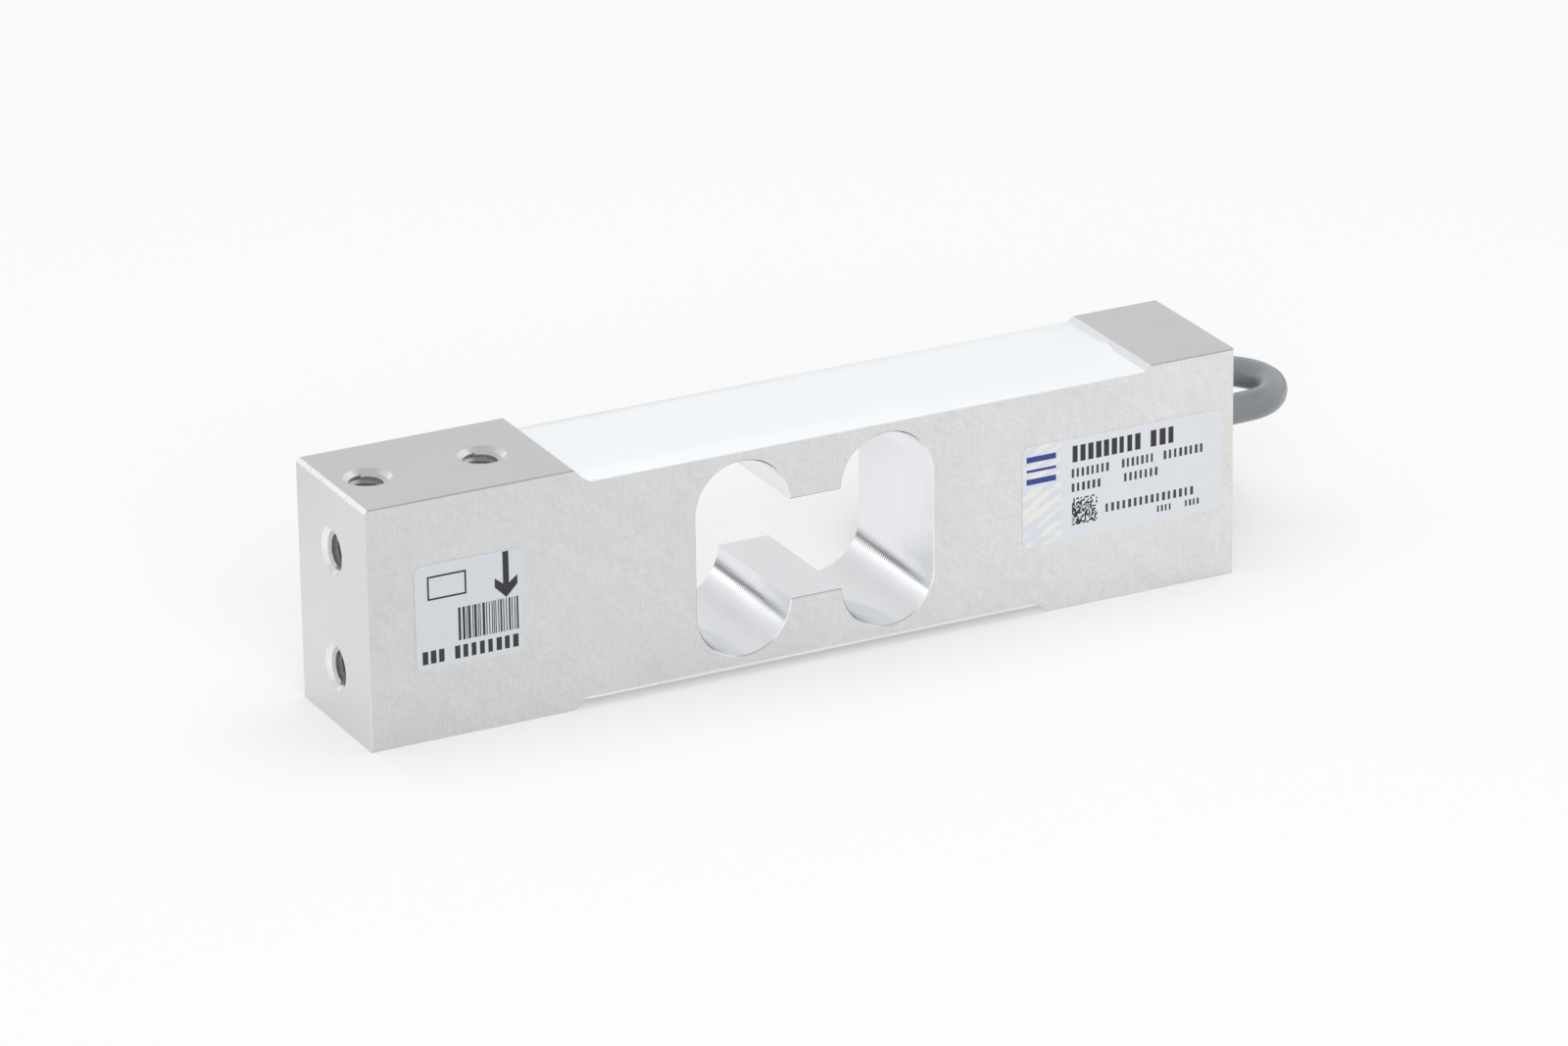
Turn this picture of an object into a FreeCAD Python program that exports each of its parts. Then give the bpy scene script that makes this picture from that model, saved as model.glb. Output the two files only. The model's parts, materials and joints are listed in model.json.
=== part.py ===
import FreeCAD, Part
import math
import os

# Single point load cell: a machined aluminium bar with a binocular cut-out, strain gauges over
# the four thin sections, white potting over both gauged faces and a signal cable at the fixed end.
# Millimetres. X runs from the load end to the cable end, Y from the label face to the back,
# Z up. The origin is the middle of the footprint, on the surface that the bar rests on.

V = FreeCAD.Vector
X_AXIS, Y_AXIS, Z_AXIS = V(1, 0, 0), V(0, 1, 0), V(0, 0, 1)

# ---- spring body -------------------------------------------------------------------------
BODY_LENGTH = 150.0
BODY_WIDTH = 25.4
BASE_RECESS = 1.9            # gauged underside above the two base pads
FLEXURE = 1.5                # metal left over each lobe of the cut-out
LOBE_RADIUS = 8.05
LOBE_STRAIGHT = 16.0         # between the arc centres of one lobe
LOBE_PITCH = 25.0            # between the two lobes
WINDOW_SHIFT = 0.75          # middle of the cut-out from the middle of the bar
SLOT_HEIGHT = 16.5           # between the flats of the two webs
LOAD_PAD_RISE = 2.4          # load pad above the gauged top
FIXED_PAD_RISE = 1.1         # fixed pad above the gauged top
LOAD_PAD_LENGTH = 34.8
FIXED_PAD_LENGTH = 15.0
BASE_LOAD_PAD_LENGTH = 34.0
BASE_FIXED_PAD_LENGTH = 33.6
RAMP_ANGLE = 45.0
LOAD_COVE_RADIUS = 3.0       # at the foot of the load pad's ramp
FIXED_COVE_RADIUS = 2.4
BASE_LOAD_COVE_RADIUS = 0.6
BASE_FIXED_COVE_RADIUS = 3.0
TOP_EDGE_BREAK = 0.55        # top edge of the load end
EDGE_BREAK = 0.25            # upright edges of both ends
RIM_BREAK = 0.2              # rims of the cut-out and long edges of the pads

# ---- threaded holes, M6 ------------------------------------------------------------------
THREAD_DIAMETER = 6.0
COUNTERSINK_DIAMETER = 7.6
HOLE_EDGE = 6.35             # first hole of a pair from the end of the bar
HOLE_PITCH = 19.05
PAD_HOLE_DEPTH = 6.2
END_HOLE_DEPTH = 14.0
END_HOLE_HEIGHT = 19.05      # middle of an end pair
DRILL_TIP_ANGLE = 118.0

# ---- passages and pockets for the wiring -------------------------------------------------
SHAFT_RADIUS = 3.2           # upright entry shaft that breaks into the fixed ramp
SHAFT_SETBACK = 18.4
SHAFT_SUMP = 3.4             # shaft floor below the middle of the cable
CABLE_HEIGHT = 22.3
BORE_CLEARANCE = 0.3         # cable bore round the jacket
POCKET_START = 27.5
POCKET_WIDTH = 12.6
POCKET_DEPTH = 1.6
POCKET_CORNER = 2.0
LINK_RADIUS = 1.5
LINK_PLACE = 30.5
BASE_POCKET_START = 22.5
BASE_POCKET_END = 33.5
BASE_POCKET_DEPTH = 1.3

# ---- gauges, boards and wiring -----------------------------------------------------------
GAUGE_LENGTH = 7.0
GAUGE_WIDTH = 6.0
GAUGE_FILM = 0.12
GAUGE_CORNER = 0.4
GRID_RISE = 0.05
GRID_LINES = 6
GRID_PITCH = 0.7
GRID_LINE = 0.35
GRID_REACH = 3.6
GRID_MARGIN = 0.6            # film left beyond the grid's end loops
TAB_SIZE = 1.2
TAB_NECK = 0.7               # foil between the grid and a tab
LEAD_ON_TAB = 2.3            # from the gauge's middle to where a lead is soldered
LEAD_SPLAY = 3.0             # length over which the far leads move outwards
LEAD_ON_FOIL = 1.0           # from the compensation foil's end
BOARD_LENGTH = 12.0
BOARD_WIDTH = 11.6
BOARD_THICKNESS = 0.8
BOARD_GAP = 5.5              # pocket end to board, over the link passage
PAD_RADIUS = 0.5
PAD_RISE = 0.1
PAD_INSET = 1.1
BASE_BOARD_LENGTH = 5.4
BASE_BOARD_WIDTH = 9.0
BASE_BOARD_THICKNESS = 0.6
BASE_BOARD_GAP = 0.4
CHIP_SIZE = (2.0, 1.25, 0.5)
CHIP_PITCH = 2.8
FOIL_SIZE = (5.0, 3.0, 0.12)
FOIL_PLACE = (21.5, 5.0)
LEAD_RADIUS = 0.15
NEAR_LEAD = 1.6              # leads of the gauge by the board, from the middle
FAR_LEAD = 3.4               # leads of the gauge at the load side
FOIL_LEAD = 0.5
LINK_WIRE_PITCH = 0.6
CORE_RADIUS = 0.55
CORE_PITCH = 1.3
CORE_BEND = 1.4
CORE_COLOURS = ("red", "black", "green", "white")
BARE_RADIUS = 0.3            # tinned strands
SHIELD_RADIUS = 0.5          # twisted shield
LEAD_STEP = 0.3              # a lead bends down this far past the edge of a pocket
TOUCH = 0.02                 # air between pieces that lie on each other

# ---- potting -----------------------------------------------------------------------------
POTTING_CROWN = 0.95
TOP_POTTING_EDGE = 0.2       # along the two side faces
BASE_POTTING_EDGE = 0.4
POTTING_SHOULDER = 5.0       # width of the rounded shoulder
SHOULDER_BEND = 1.6          # the shoulder's arc passes this far in from the side face
SHOULDER_FALL = 0.3          # and this far below the crown
POTTING_THIN_END = 0.25      # at the ramp where the potting thins out
POTTING_THIN_RUN = 9.0
THIN_BEND = (0.6, 0.36)      # where its curve bends: share of the run, and of the drop
POTTING_PLUG = 3.0           # how far it runs down the passages

# ---- labels ------------------------------------------------------------------------------
LABEL_FILM = 0.1
LABEL_CORNER = 1.3
LOAD_LABEL_SIZE = (17.9, 17.0)
LOAD_LABEL_PLACE = (16.75, 20.3)      # middle, from the load end and from the base
RATING_LABEL_SIZE = (35.8, 16.9)
RATING_LABEL_PLACE = (20.1, 20.0)     # middle, from the cable end and from the base

# ---- cable -------------------------------------------------------------------------------
CABLE_DIAMETER = 5.0
JACKET_START = 3.6           # jacket end from the middle of the shaft
SEAL_LENGTH = 9.0
SEAL_BEAD = 1.2              # how far the sealant bead stands out of the end face
SEAL_BEAD_RADIUS = 4.0
HANK_LAYERS = 3
HANK_PLACE = (61.6, 27.2)
HANK_LENGTH = 60.0
HANK_LOOP_RADIUS = 12.5
HANK_WAIST = 10.4            # over the two groups of runs, under the tie
HANK_EDGE = 1.6              # bevel along the top and bottom rims
TIE_WIDTH = 3.6
TIE_THICKNESS = 1.1
TIE_HEAD = (5.2, 4.6, 3.4)   # along the hank, up and outwards
TIE_HEAD_DROP = 2.0          # below the top of the hank
SLEEVE_LENGTH = 6.5
SLEEVE_WALL = 0.45
END_CORE_LENGTH = 12.0
END_CORE_BARE = 3.0
END_CORE_PITCH = 0.95
END_CORE_STAGGER = 0.6
END_CORE_FAN = 5.0           # degrees between neighbouring cores
END_CORE_DROOP = 4.0
END_CORE_GAP = 0.15          # between the sleeve's end and the fanned wires
TAIL_GAP = 0.15              # sleeve over the hank

# ---- worked out from the above -----------------------------------------------------------
LOAD_END = -BODY_LENGTH / 2
FIXED_END = BODY_LENGTH / 2
FRONT = -BODY_WIDTH / 2
BACK = BODY_WIDTH / 2
WINDOW_Z = BASE_RECESS + FLEXURE + LOBE_RADIUS + LOBE_STRAIGHT / 2
TOP_FLOOR = WINDOW_Z + LOBE_STRAIGHT / 2 + LOBE_RADIUS + FLEXURE
LOAD_TOP = TOP_FLOOR + LOAD_PAD_RISE
FIXED_TOP = TOP_FLOOR + FIXED_PAD_RISE
RAMP_SLOPE = math.tan(math.radians(RAMP_ANGLE))
LOAD_FOOT = LOAD_END + LOAD_PAD_LENGTH + LOAD_PAD_RISE / RAMP_SLOPE
FIXED_FOOT = FIXED_END - FIXED_PAD_LENGTH - FIXED_PAD_RISE / RAMP_SLOPE
BASE_LOAD_FOOT = LOAD_END + BASE_LOAD_PAD_LENGTH + BASE_RECESS / RAMP_SLOPE
BASE_FIXED_FOOT = FIXED_END - BASE_FIXED_PAD_LENGTH - BASE_RECESS / RAMP_SLOPE
LOBES = (WINDOW_SHIFT - LOBE_PITCH / 2, WINDOW_SHIFT + LOBE_PITCH / 2)
SHAFT_X = FIXED_END - SHAFT_SETBACK
THREAD_RADIUS = THREAD_DIAMETER / 2
BORE_RADIUS = CABLE_DIAMETER / 2 + BORE_CLEARANCE
POCKET_FLOOR = TOP_FLOOR - POCKET_DEPTH
BOARD_START = POCKET_START + BOARD_GAP
BOARD_TOP = POCKET_FLOOR + BOARD_THICKNESS
BASE_POCKET_ROOF = BASE_RECESS + BASE_POCKET_DEPTH
BASE_BOARD_FACE = BASE_POCKET_ROOF - BASE_BOARD_THICKNESS
BASE_BOARD_START = BASE_POCKET_START + BASE_BOARD_GAP
PAD_FACE = BOARD_TOP + PAD_RISE
BASE_PAD_FACE = BASE_BOARD_FACE - PAD_RISE
CABLE_RADIUS = CABLE_DIAMETER / 2
CABLE_EXIT = FIXED_END + SEAL_BEAD
HANK_TOP = HANK_LAYERS * CABLE_DIAMETER
TAIL_Z = HANK_TOP + CABLE_RADIUS + SLEEVE_WALL + TAIL_GAP

# Route of the free cable, laid by hand: out of the end face, round in one tight turn, over the
# near loop of the hank and down beside its waist to the lowest layer. The tail comes up out of
# the same loop and lies over the hank's top.
LEAD_ROUTE = [
    V(CABLE_EXIT, 0.0, CABLE_HEIGHT),
    V(81.4, 0.0, 22.3),
    V(89.6, 0.4, 22.3),
    V(94.6, 8.8, 22.3),
    V(89.6, 17.1, 22.3),
    V(80.2, 16.9, 21.7),
    V(70.5, 16.0, 18.3),
    V(61.6, 16.2, 9.6),
    V(54.0, 17.3, 3.8),
    V(47.4, 20.8, 3.0),
]
TAIL_ROUTE = [
    V(86.0, 20.4, 13.6),
    V(80.7, 19.4, 15.8),
    V(75.3, 21.9, 17.7),
    V(70.3, 25.2, TAIL_Z),
]


# ---- helpers -----------------------------------------------------------------------------
def rounded_wire(points, radii, closed=False):
    """Straight runs joined by tangent arcs; radii holds one radius a corner, 0 for a sharp one."""
    count = len(points)
    corners = range(count) if closed else range(1, count - 1)
    starts, ends, arcs = list(points), list(points), {}
    for i in corners:
        radius = radii[i]
        if radius <= 0:
            continue
        here = points[i]
        back = (points[i - 1] - here).normalize()
        ahead = (points[(i + 1) % count] - here).normalize()
        half_turn = (math.pi - back.getAngle(ahead)) / 2
        reach = radius * math.tan(half_turn)
        middle = (back + ahead).normalize()
        centre = here + middle * (radius / math.cos(half_turn))
        starts[i] = here + back * reach
        ends[i] = here + ahead * reach
        arcs[i] = centre - middle * radius
    edges = []
    for i in range(count if closed else count - 1):
        j = (i + 1) % count
        if i in arcs:
            edges.append(Part.Arc(starts[i], arcs[i], ends[i]).toShape())
        if (starts[j] - ends[i]).Length > 1e-6:
            edges.append(Part.LineSegment(ends[i], starts[j]).toShape())
    return Part.Wire(edges)


def cord_radii(route, share=0.45):
    """The largest tangent arc that each corner of a cord's route has room for."""
    radii = [0.0] * len(route)
    for i in range(1, len(route) - 1):
        back = route[i - 1] - route[i]
        ahead = route[i + 1] - route[i]
        half_turn = (math.pi - back.getAngle(ahead)) / 2
        radii[i] = share * min(back.Length, ahead.Length) / math.tan(half_turn)
    return radii


def tube(points, radii, radius):
    """A round solid along a route of runs and arcs."""
    path = rounded_wire(points, radii)
    direction = points[1] - points[0]
    section = Part.Wire([Part.makeCircle(radius, points[0], direction)])
    solid = path.makePipeShell([section], True, True)
    return solid


def fine_wire(points):
    """A fine lead with its bends mitred."""
    section = Part.Wire([Part.makeCircle(LEAD_RADIUS, points[0], points[1] - points[0])])
    return Part.makePolygon(points).makePipeShell([section], True, False, 1)


def extrude_y(wire, y0, y1):
    face = Part.Face(wire)
    face.translate(V(0, y0, 0))
    return face.extrude(V(0, y1 - y0, 0))


def block(x0, x1, y0, y1, z0, z1):
    return Part.makeBox(x1 - x0, y1 - y0, z1 - z0, V(x0, y0, z0))


def rounded_block(x0, x1, y0, y1, z0, z1, corner):
    """A plate with rounded upright edges, as an end mill leaves a pocket."""
    points = [V(x0, y0, z0), V(x1, y0, z0), V(x1, y1, z0), V(x0, y1, z0)]
    outline = rounded_wire(points, [corner] * 4, closed=True)
    return Part.Face(outline).extrude(V(0, 0, z1 - z0))


def obround(x, z0, z1, radius, y0, y1):
    """An upright slot with round ends, right through along Y; z0 and z1 are its arc centres."""
    left, right = x - radius, x + radius
    outline = Part.Wire([
        Part.LineSegment(V(left, 0, z0), V(left, 0, z1)).toShape(),
        Part.Arc(V(left, 0, z1), V(x, 0, z1 + radius), V(right, 0, z1)).toShape(),
        Part.LineSegment(V(right, 0, z1), V(right, 0, z0)).toShape(),
        Part.Arc(V(right, 0, z0), V(x, 0, z0 - radius), V(left, 0, z0)).toShape(),
    ])
    return extrude_y(outline, y0, y1)


def threaded_hole(mouth, inward, depth):
    """Cutter for a countersunk blind hole at the thread's outer diameter, with its drill tip."""
    sink = (COUNTERSINK_DIAMETER - THREAD_DIAMETER) / 2
    tip = THREAD_RADIUS / math.tan(math.radians(DRILL_TIP_ANGLE / 2))
    outer = THREAD_RADIUS + sink
    profile = [
        V(0, 0, -1.0),
        V(outer + 1.0, 0, -1.0),
        V(THREAD_RADIUS, 0, sink),
        V(THREAD_RADIUS, 0, depth),
        V(0, 0, depth + tip),
    ]
    face = Part.Face(Part.makePolygon(profile + [profile[0]]))
    cutter = face.revolve(V(0, 0, 0), Z_AXIS, 360)
    cutter.Placement = FreeCAD.Placement(mouth, FreeCAD.Rotation(Z_AXIS, inward))
    return cutter


# ---- spring body -------------------------------------------------------------------------
def body_profile():
    """Side outline of the bar: pads, ramps with their coves, and the two gauged faces."""
    corners = [
        (LOAD_END, 0.0, 0.0),
        (LOAD_END + BASE_LOAD_PAD_LENGTH, 0.0, 0.0),
        (BASE_LOAD_FOOT, BASE_RECESS, BASE_LOAD_COVE_RADIUS),
        (BASE_FIXED_FOOT, BASE_RECESS, BASE_FIXED_COVE_RADIUS),
        (FIXED_END - BASE_FIXED_PAD_LENGTH, 0.0, 0.0),
        (FIXED_END, 0.0, 0.0),
        (FIXED_END, FIXED_TOP, 0.0),
        (FIXED_END - FIXED_PAD_LENGTH, FIXED_TOP, 0.0),
        (FIXED_FOOT, TOP_FLOOR, FIXED_COVE_RADIUS),
        (LOAD_FOOT, TOP_FLOOR, LOAD_COVE_RADIUS),
        (LOAD_END + LOAD_PAD_LENGTH, LOAD_TOP, 0.0),
        (LOAD_END + TOP_EDGE_BREAK, LOAD_TOP, 0.0),
        (LOAD_END, LOAD_TOP - TOP_EDGE_BREAK, 0.0),
    ]
    points = [V(x, 0, z) for x, z, _ in corners]
    return rounded_wire(points, [r for _, _, r in corners], closed=True)


def window_cutter():
    """The binocular cut-out: two upright lobes joined by a slot between the webs."""
    y0, y1 = FRONT - 1, BACK + 1
    half = LOBE_STRAIGHT / 2
    lobes = [obround(x, WINDOW_Z - half, WINDOW_Z + half, LOBE_RADIUS, y0, y1) for x in LOBES]
    slot = block(LOBES[0], LOBES[1], y0, y1, WINDOW_Z - SLOT_HEIGHT / 2, WINDOW_Z + SLOT_HEIGHT / 2)
    return lobes[0].fuse([lobes[1], slot]).removeSplitter()


def hole_cutters():
    """Pairs of M6 holes: in the load pad, in the load end and in the fixed base pad."""
    cutters = []
    for step in (HOLE_EDGE, HOLE_EDGE + HOLE_PITCH):
        cutters.append(threaded_hole(V(LOAD_END + step, 0, LOAD_TOP), -Z_AXIS, PAD_HOLE_DEPTH))
        cutters.append(threaded_hole(V(FIXED_END - step, 0, 0), Z_AXIS, PAD_HOLE_DEPTH))
    for side in (-0.5, 0.5):
        z = END_HOLE_HEIGHT + side * HOLE_PITCH
        cutters.append(threaded_hole(V(LOAD_END, 0, z), X_AXIS, END_HOLE_DEPTH))
    return cutters


def wiring_cutters():
    """Cable bore, entry shaft, link passage and the two milled pockets for the boards."""
    shaft_floor = CABLE_HEIGHT - SHAFT_SUMP
    half = POCKET_WIDTH / 2
    return [
        Part.makeCylinder(BORE_RADIUS, SHAFT_SETBACK + 1, V(SHAFT_X, 0, CABLE_HEIGHT), X_AXIS),
        Part.makeCylinder(SHAFT_RADIUS, LOAD_TOP - shaft_floor, V(SHAFT_X, 0, shaft_floor)),
        Part.makeCylinder(LINK_RADIUS, LOAD_TOP, V(LINK_PLACE, 0, 0)),
        rounded_block(POCKET_START, SHAFT_X, -half, half, POCKET_FLOOR, LOAD_TOP, POCKET_CORNER),
        rounded_block(BASE_POCKET_START, BASE_POCKET_END, -half, half, -1, BASE_POCKET_ROOF,
                      POCKET_CORNER),
    ]


def break_end_edges(solid):
    """Small chamfers on the four upright edges of the two end faces."""
    edges = []
    for edge in solid.Edges:
        if len(edge.Vertexes) != 2:
            continue
        a, b = (v.Point for v in edge.Vertexes)
        upright = abs(a.x - b.x) < 1e-6 and abs(a.y - b.y) < 1e-6
        outer = abs(abs(a.x) - FIXED_END) < 1e-6 and abs(abs(a.y) - BACK) < 1e-6
        if upright and outer:
            edges.append(edge)
    return solid.makeChamfer(EDGE_BREAK, edges)


def break_rims(solid):
    """Small chamfers on the rims of the cut-out and the long edges of the pads."""
    edges = []
    for edge in solid.Edges:
        box = edge.BoundBox
        on_side = abs(abs(box.Center.y) - BACK) < 1e-3
        rim = box.ZMin > BASE_RECESS + FLEXURE / 2 and box.ZMax < TOP_FLOOR - FLEXURE / 2
        rim = rim and abs(box.Center.x - WINDOW_SHIFT) < LOBE_PITCH
        pad = box.ZLength < 1e-3 and (box.ZMin < 1e-3 or box.ZMin > FIXED_TOP - 1e-3)
        if on_side and (rim or pad):
            edges.append(edge)
    return solid.makeChamfer(RIM_BREAK, edges)


def spring_body():
    bar = break_end_edges(extrude_y(body_profile(), FRONT, BACK))
    bar = break_rims(bar.cut(window_cutter()))
    return bar.cut(hole_cutters() + wiring_cutters())


# ---- gauges and boards -------------------------------------------------------------------
def strain_gauge(x, face_z, up):
    """A foil grid with two tabs on a film carrier; up is 1 on the top face and -1 on the base."""
    film = rounded_block(x - GAUGE_LENGTH / 2, x + GAUGE_LENGTH / 2, -GAUGE_WIDTH / 2,
                         GAUGE_WIDTH / 2, 0, GAUGE_FILM, GAUGE_CORNER)
    foil = []
    first = -(GRID_LINES - 1) / 2 * GRID_PITCH
    grid_start = x - GAUGE_LENGTH / 2 + GRID_MARGIN
    grid_end = grid_start + GRID_REACH
    top = GAUGE_FILM + GRID_RISE
    for i in range(GRID_LINES):
        y = first + i * GRID_PITCH
        foil.append(block(grid_start, grid_end, y - GRID_LINE / 2, y + GRID_LINE / 2, 0, top))
        if i < GRID_LINES - 1:
            turn = grid_start if i % 2 else grid_end - GRID_LINE
            foil.append(block(turn, turn + GRID_LINE, y, y + GRID_PITCH, 0, top))
    for side in (-1, 1):
        y = side * NEAR_LEAD
        tab = grid_end + TAB_NECK
        foil.append(block(grid_end, tab, y - GRID_LINE / 2, y + GRID_LINE / 2, 0, top))
        foil.append(block(tab, tab + TAB_SIZE, y - TAB_SIZE / 2, y + TAB_SIZE / 2, 0, top))
    gauge = film.fuse(foil).removeSplitter()
    if up < 0:
        gauge = gauge.mirror(V(0, 0, 0), Z_AXIS)
    gauge.translate(V(0, 0, face_z))
    return gauge


def solder_pads(places, z0, z1):
    return [Part.makeCylinder(PAD_RADIUS, z1 - z0, V(x, y, z0)) for x, y in places]


def core_rows():
    middle = (len(CORE_COLOURS) - 1) / 2
    return [(i - middle) * CORE_PITCH for i in range(len(CORE_COLOURS))]


def link_rows():
    middle = (len(CORE_COLOURS) - 1) / 2
    return [(i - middle) * LINK_WIRE_PITCH for i in range(len(CORE_COLOURS))]


def lead_rows():
    return [-FAR_LEAD, -NEAR_LEAD, NEAR_LEAD, FAR_LEAD]


def terminal_board():
    """Solder terminal board in the top pocket, with a row of pads at each end."""
    end = BOARD_START + BOARD_LENGTH
    half = BOARD_WIDTH / 2
    board = block(BOARD_START, end, -half, half, POCKET_FLOOR, BOARD_TOP)
    places = [(end - PAD_INSET, y) for y in core_rows()]
    places += [(BOARD_START + PAD_INSET, y) for y in lead_rows()]
    return board.fuse(solder_pads(places, POCKET_FLOOR, PAD_FACE))


def base_board():
    """Small terminal strip in the base pocket, where the base gauges meet the link wires."""
    end = BASE_BOARD_START + BASE_BOARD_LENGTH
    half = BASE_BOARD_WIDTH / 2
    board = block(BASE_BOARD_START, end, -half, half, BASE_BOARD_FACE, BASE_POCKET_ROOF)
    places = [(BASE_BOARD_START + PAD_INSET, y) for y in lead_rows()]
    return board.fuse(solder_pads(places, BASE_PAD_FACE, BASE_POCKET_ROOF))


def balance_resistors():
    """Chip resistors that trim the bridge, in a row across the terminal board."""
    length, width, height = CHIP_SIZE
    x = BOARD_START + BOARD_LENGTH / 2
    chips = []
    for side in (-1, 0, 1):
        y = side * CHIP_PITCH
        chips.append(block(x - length / 2, x + length / 2, y - width / 2, y + width / 2,
                           BOARD_TOP, BOARD_TOP + height))
    return Part.makeCompound(chips)


def compensation_foil():
    """Nickel foil resistor bonded to the metal beside the gauges."""
    length, width, height = FOIL_SIZE
    x, y = FOIL_PLACE
    return rounded_block(x - length / 2, x + length / 2, y - width / 2, y + width / 2,
                         TOP_FLOOR, TOP_FLOOR + height, GAUGE_CORNER)


def gauge_leads(face_z, board_x, pad_z, up, step_x):
    """Fine leads from the two gauges of one face to the board's pads."""
    lift = up * (LEAD_RADIUS + TOUCH)
    on_film = face_z + up * (GAUGE_FILM + GRID_RISE) + lift
    on_pad = pad_z + lift
    leads = []
    for side in (-1, 1):
        near, far = side * NEAR_LEAD, side * FAR_LEAD
        leads.append(fine_wire([
            V(LOBES[0] + LEAD_ON_TAB, near, on_film),
            V(LOBES[0] + LEAD_ON_TAB + LEAD_SPLAY, far, on_film),
            V(step_x, far, on_film),
            V(board_x + PAD_INSET, far, on_pad),
        ]))
        leads.append(fine_wire([
            V(LOBES[1] + LEAD_ON_TAB, near, on_film),
            V(step_x, near, on_film),
            V(board_x + PAD_INSET, near, on_pad),
        ]))
    return leads


def gauge_leads_top():
    leads = gauge_leads(TOP_FLOOR, BOARD_START, PAD_FACE, 1, POCKET_START + LEAD_STEP)
    x, y = FOIL_PLACE
    z = TOP_FLOOR + FOIL_SIZE[2] + LEAD_RADIUS + TOUCH
    for side in (-1, 1):
        row = y + side * FOIL_LEAD
        leads.append(fine_wire([
            V(x + FOIL_SIZE[0] / 2 - LEAD_ON_FOIL, row, z),
            V(POCKET_START + LEAD_STEP, row, z),
            V(BOARD_START + PAD_INSET, row, BOARD_TOP + LEAD_RADIUS + TOUCH),
        ]))
    return Part.makeCompound(leads)


def gauge_leads_base():
    return Part.makeCompound(
        gauge_leads(BASE_RECESS, BASE_BOARD_START, BASE_PAD_FACE, -1, BASE_POCKET_START + LEAD_STEP))


def link_wires():
    """Four wires that join the two boards through the upright link passage."""
    top = PAD_FACE + LEAD_RADIUS + TOUCH
    base = BASE_PAD_FACE - LEAD_RADIUS - TOUCH
    wires = []
    for y in link_rows():
        wires.append(fine_wire([
            V(BOARD_START + 2 * PAD_INSET, y, top),
            V(LINK_PLACE, y, top),
            V(LINK_PLACE, y, base),
            V(BASE_BOARD_START + BASE_BOARD_LENGTH - PAD_INSET, y, base),
        ]))
    return Part.makeCompound(wires)


# ---- cable inside the bar ----------------------------------------------------------------
def inner_core(y):
    """One insulated core: out of the jacket, up the shaft and over to its pad."""
    top = PAD_FACE + CORE_RADIUS + TOUCH
    return tube([
        V(SHAFT_X + JACKET_START, y, CABLE_HEIGHT),
        V(SHAFT_X, y, CABLE_HEIGHT),
        V(SHAFT_X, y, top),
        V(BOARD_START + BOARD_LENGTH - PAD_INSET, y, top),
    ], [0, CORE_BEND, CORE_BEND, 0], CORE_RADIUS)


def cable_entry():
    """The jacketed end of the cable, held in its bore."""
    start = SHAFT_X + JACKET_START
    return Part.makeCylinder(CABLE_RADIUS, CABLE_EXIT - start, V(start, 0, CABLE_HEIGHT), X_AXIS)


def cable_seal():
    """Sealant round the jacket: a sleeve in the bore and a bead on the end face."""
    outer, inner = BORE_RADIUS, CABLE_RADIUS
    start = FIXED_END - SEAL_LENGTH
    profile = [
        V(start, 0, inner),
        V(CABLE_EXIT, 0, inner),
        V(FIXED_END, 0, SEAL_BEAD_RADIUS),
        V(FIXED_END, 0, outer),
        V(start, 0, outer),
    ]
    face = Part.Face(Part.makePolygon(profile + [profile[0]]))
    seal = face.revolve(V(0, 0, 0), X_AXIS, 360)
    seal.translate(V(0, 0, CABLE_HEIGHT))
    return seal


# ---- potting -----------------------------------------------------------------------------
def potting_section(edge, below):
    """Cross-section of the potting over a level face: a flat crown with rounded shoulders."""
    half = BODY_WIDTH / 2
    flat = half - POTTING_SHOULDER
    bend = V(0, half - SHOULDER_BEND, POTTING_CROWN - SHOULDER_FALL)
    return Part.Wire([
        Part.LineSegment(V(0, -half, -below), V(0, half, -below)).toShape(),
        Part.LineSegment(V(0, half, -below), V(0, half, edge)).toShape(),
        Part.Arc(V(0, half, edge), bend, V(0, flat, POTTING_CROWN)).toShape(),
        Part.LineSegment(V(0, flat, POTTING_CROWN), V(0, -flat, POTTING_CROWN)).toShape(),
        Part.Arc(V(0, -flat, POTTING_CROWN), V(0, -bend.y, bend.z), V(0, -half, edge)).toShape(),
        Part.LineSegment(V(0, -half, edge), V(0, -half, -below)).toShape(),
    ])


def potting_side(x_full, x_foot, x_thin, below):
    """Side outline: full height from one ramp, thinning out towards the foot of the other."""
    way = 1 if x_thin > x_full else -1
    start = x_foot - way * POTTING_THIN_RUN
    drop = POTTING_CROWN - POTTING_THIN_END
    along, down = THIN_BEND
    middle = V(start + way * POTTING_THIN_RUN * along, 0, POTTING_CROWN - drop * down)
    return Part.Wire([
        Part.LineSegment(V(x_full, 0, -below), V(x_full, 0, POTTING_CROWN)).toShape(),
        Part.LineSegment(V(x_full, 0, POTTING_CROWN), V(start, 0, POTTING_CROWN)).toShape(),
        Part.Arc(V(start, 0, POTTING_CROWN), middle, V(x_foot, 0, POTTING_THIN_END)).toShape(),
        Part.LineSegment(V(x_foot, 0, POTTING_THIN_END), V(x_thin, 0, POTTING_THIN_END)).toShape(),
        Part.LineSegment(V(x_thin, 0, POTTING_THIN_END), V(x_thin, 0, -below)).toShape(),
        Part.LineSegment(V(x_thin, 0, -below), V(x_full, 0, -below)).toShape(),
    ])


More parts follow.
